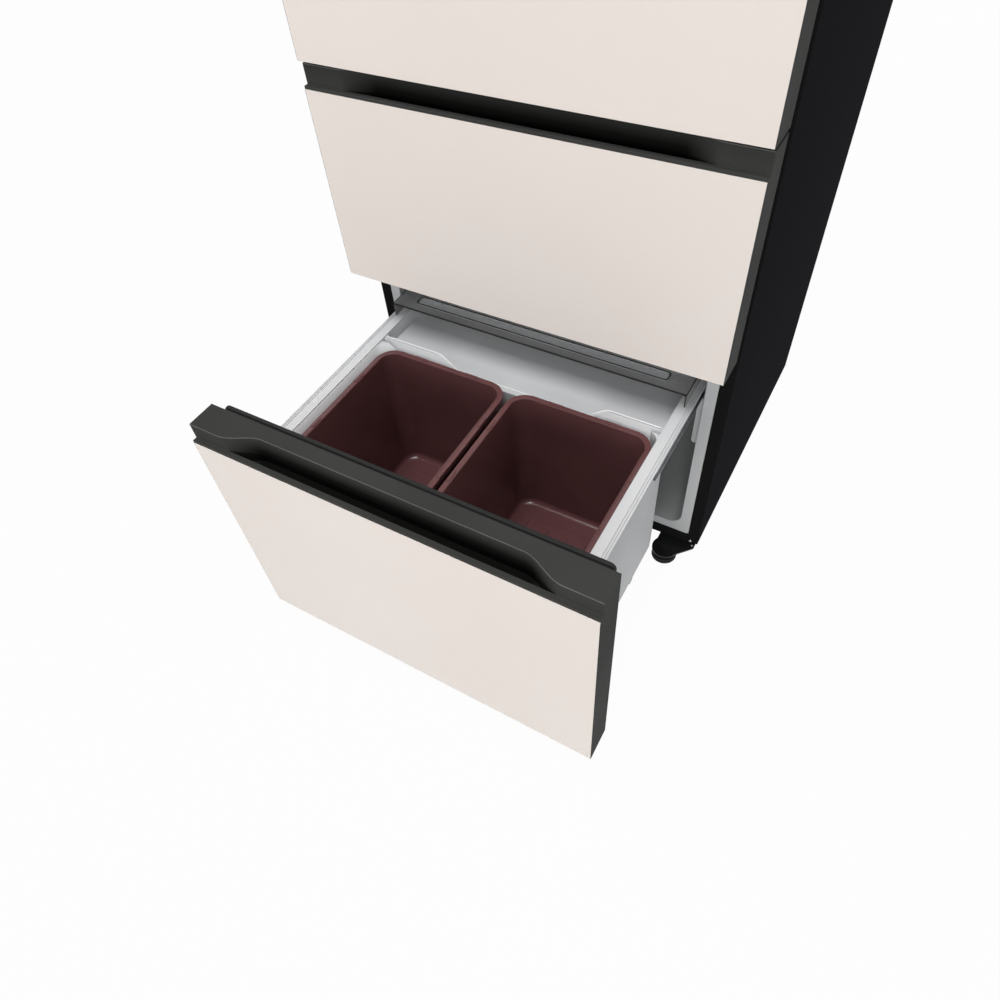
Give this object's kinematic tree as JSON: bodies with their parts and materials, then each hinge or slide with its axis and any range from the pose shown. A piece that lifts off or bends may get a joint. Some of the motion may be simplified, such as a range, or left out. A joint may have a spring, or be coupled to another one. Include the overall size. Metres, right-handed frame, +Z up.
{
  "type": "kimchi refrigerator",
  "caption": "Tall free-standing kimchi refrigerator: hinged upper door over a closed middle drawer and a pulled-out lower drawer with lift-out containers.",
  "frame": {"origin": "on the floor, at the middle of the whole object's width and length with the lower drawer out", "axes": "+X to the viewer's right in front, -Y out of the front, +Z up"},
  "size_m": [0.695, 1.1038, 1.853],
  "materials": {
    "cabinet_paint": "satin",
    "bracket_paint": "gloss",
    "front_paint": "satin",
    "charcoal_trim": "matte",
    "zinc_steel": "satin",
    "coated_steel": "satin",
    "insulation": "matte",
    "liner_plastic": "satin",
    "inner_plastic": "satin",
    "clear_glass": "polished",
    "clear_plastic": "gloss",
    "smoked_plastic": "gloss",
    "container_plastic": "gloss",
    "gasket_rubber": "matte",
    "black_plastic": "gloss",
    "fin_aluminium": "satin",
    "tube_copper": "satin",
    "lamp_lens": "satin"
  },
  "bodies": {
    "cabinet": {"side_panel_left": "cabinet_paint", "side_panel_right": "cabinet_paint", "top_panel": "cabinet_paint", "rear_panel": "zinc_steel", "base_pan": "zinc_steel", "front_rails": "cabinet_paint", "insulation_foam": "insulation", "upper_liner": "liner_plastic", "middle_liner": "liner_plastic", "lower_liner": "liner_plastic", "shelves": "clear_glass", "evaporator_cover": "liner_plastic", "evaporator": "fin_aluminium", "cooling_plates": "fin_aluminium", "cover_plates": "smoked_plastic", "slide_outer_members": "zinc_steel", "machine_room_cover": "cabinet_paint", "compressor": "cabinet_paint", "condenser": "fin_aluminium", "drain_pan": "black_plastic", "refrigerant_pipes": "tube_copper", "control_board_box": "zinc_steel", "interior_lamp": "lamp_lens", "touch_display": "black_plastic", "door_hinges": "zinc_steel", "hinge_cover": "black_plastic", "foot_brackets": "bracket_paint"},
    "upper_door": {"upper_door_panel": "front_paint", "upper_door_frame": "charcoal_trim", "upper_door_foam": "insulation", "upper_door_inner_panel": "inner_plastic", "upper_door_gasket": "gasket_rubber", "door_bins": "clear_plastic"},
    "lower_drawer": {"lower_drawer_panel": "front_paint", "lower_drawer_frame": "charcoal_trim", "lower_drawer_grip": "charcoal_trim", "lower_drawer_foam": "insulation", "lower_drawer_inner_panel": "inner_plastic", "lower_drawer_gasket": "gasket_rubber", "lower_drawer_tub": "inner_plastic", "lower_drawer_rails": "coated_steel"},
    "lower_slides": {"lower_slide_middle_members": "zinc_steel"},
    "middle_drawer": {"middle_drawer_panel": "front_paint", "middle_drawer_frame": "charcoal_trim", "middle_drawer_grip": "charcoal_trim", "middle_drawer_foam": "insulation", "middle_drawer_inner_panel": "inner_plastic", "middle_drawer_gasket": "gasket_rubber", "middle_drawer_tub": "inner_plastic", "middle_drawer_rails": "coated_steel", "middle_containers": "container_plastic"},
    "middle_slides": {"middle_slide_middle_members": "zinc_steel"},
    "container_left": {"lower_container_left": "container_plastic"},
    "container_right": {"lower_container_right": "container_plastic"},
    "foot_left": {"front_foot_left": "black_plastic"},
    "foot_right": {"front_foot_right": "black_plastic"},
    "roller_left": {"rear_roller_left": "black_plastic"},
    "roller_right": {"rear_roller_right": "black_plastic"},
    "evaporator_blower": {"evaporator_fan": "black_plastic"},
    "condenser_blower": {"condenser_fan": "black_plastic"}
  },
  "joints": [
    {"name": "lower_drawer_slide", "type": "slide", "parent": "cabinet", "child": "lower_drawer", "axis": [0, -1, 0], "range_m": [-0.4257, 0]},
    {"name": "lower_slides_travel", "type": "slide", "parent": "cabinet", "child": "lower_slides", "axis": [0, -1, 0], "range_m": [-0.21285, 0]},
    {"name": "middle_drawer_slide", "type": "slide", "parent": "cabinet", "child": "middle_drawer", "axis": [0, 1, 0], "range_m": [-0.42, 0]},
    {"name": "middle_slides_travel", "type": "slide", "parent": "cabinet", "child": "middle_slides", "axis": [0, 1, 0], "range_m": [-0.21, 0]},
    {"name": "upper_door_hinge", "type": "hinge", "parent": "cabinet", "child": "upper_door", "pos_m": [0.326, -0.09715, 1.3585], "axis": [0, 0, 1], "range_deg": [0, 120]},
    {"name": "container_left_lift", "type": "slide", "parent": "lower_drawer", "child": "container_left", "axis": [0, 0, 1], "range_m": [0, 0.31]},
    {"name": "container_right_lift", "type": "slide", "parent": "lower_drawer", "child": "container_right", "axis": [0, 0, 1], "range_m": [0, 0.31]},
    {"name": "foot_left_turn", "type": "hinge", "parent": "cabinet", "child": "foot_left", "pos_m": [-0.291, -0.08315, 0.012], "axis": [0, 0, 1], "continuous": true},
    {"name": "foot_right_turn", "type": "hinge", "parent": "cabinet", "child": "foot_right", "pos_m": [0.291, -0.08315, 0.012], "axis": [0, 0, 1], "continuous": true},
    {"name": "roller_left_spin", "type": "hinge", "parent": "cabinet", "child": "roller_left", "pos_m": [-0.2905, 0.51385, 0.013], "axis": [1, 0, 0], "continuous": true},
    {"name": "roller_right_spin", "type": "hinge", "parent": "cabinet", "child": "roller_right", "pos_m": [0.2905, 0.51385, 0.013], "axis": [1, 0, 0], "continuous": true},
    {"name": "evaporator_fan_spin", "type": "hinge", "parent": "cabinet", "child": "evaporator_blower", "pos_m": [0, 0.47185, 1.575], "axis": [0, 1, 0], "continuous": true},
    {"name": "condenser_fan_spin", "type": "hinge", "parent": "cabinet", "child": "condenser_blower", "pos_m": [-0.2375, 0.46085, 0.133], "axis": [0, 1, 0], "continuous": true}
  ],
  "couplings": [
    {"joint": "lower_slides_travel", "follows": "lower_drawer_slide", "ratio": 0.5},
    {"joint": "middle_slides_travel", "follows": "middle_drawer_slide", "ratio": 0.5}
  ]
}
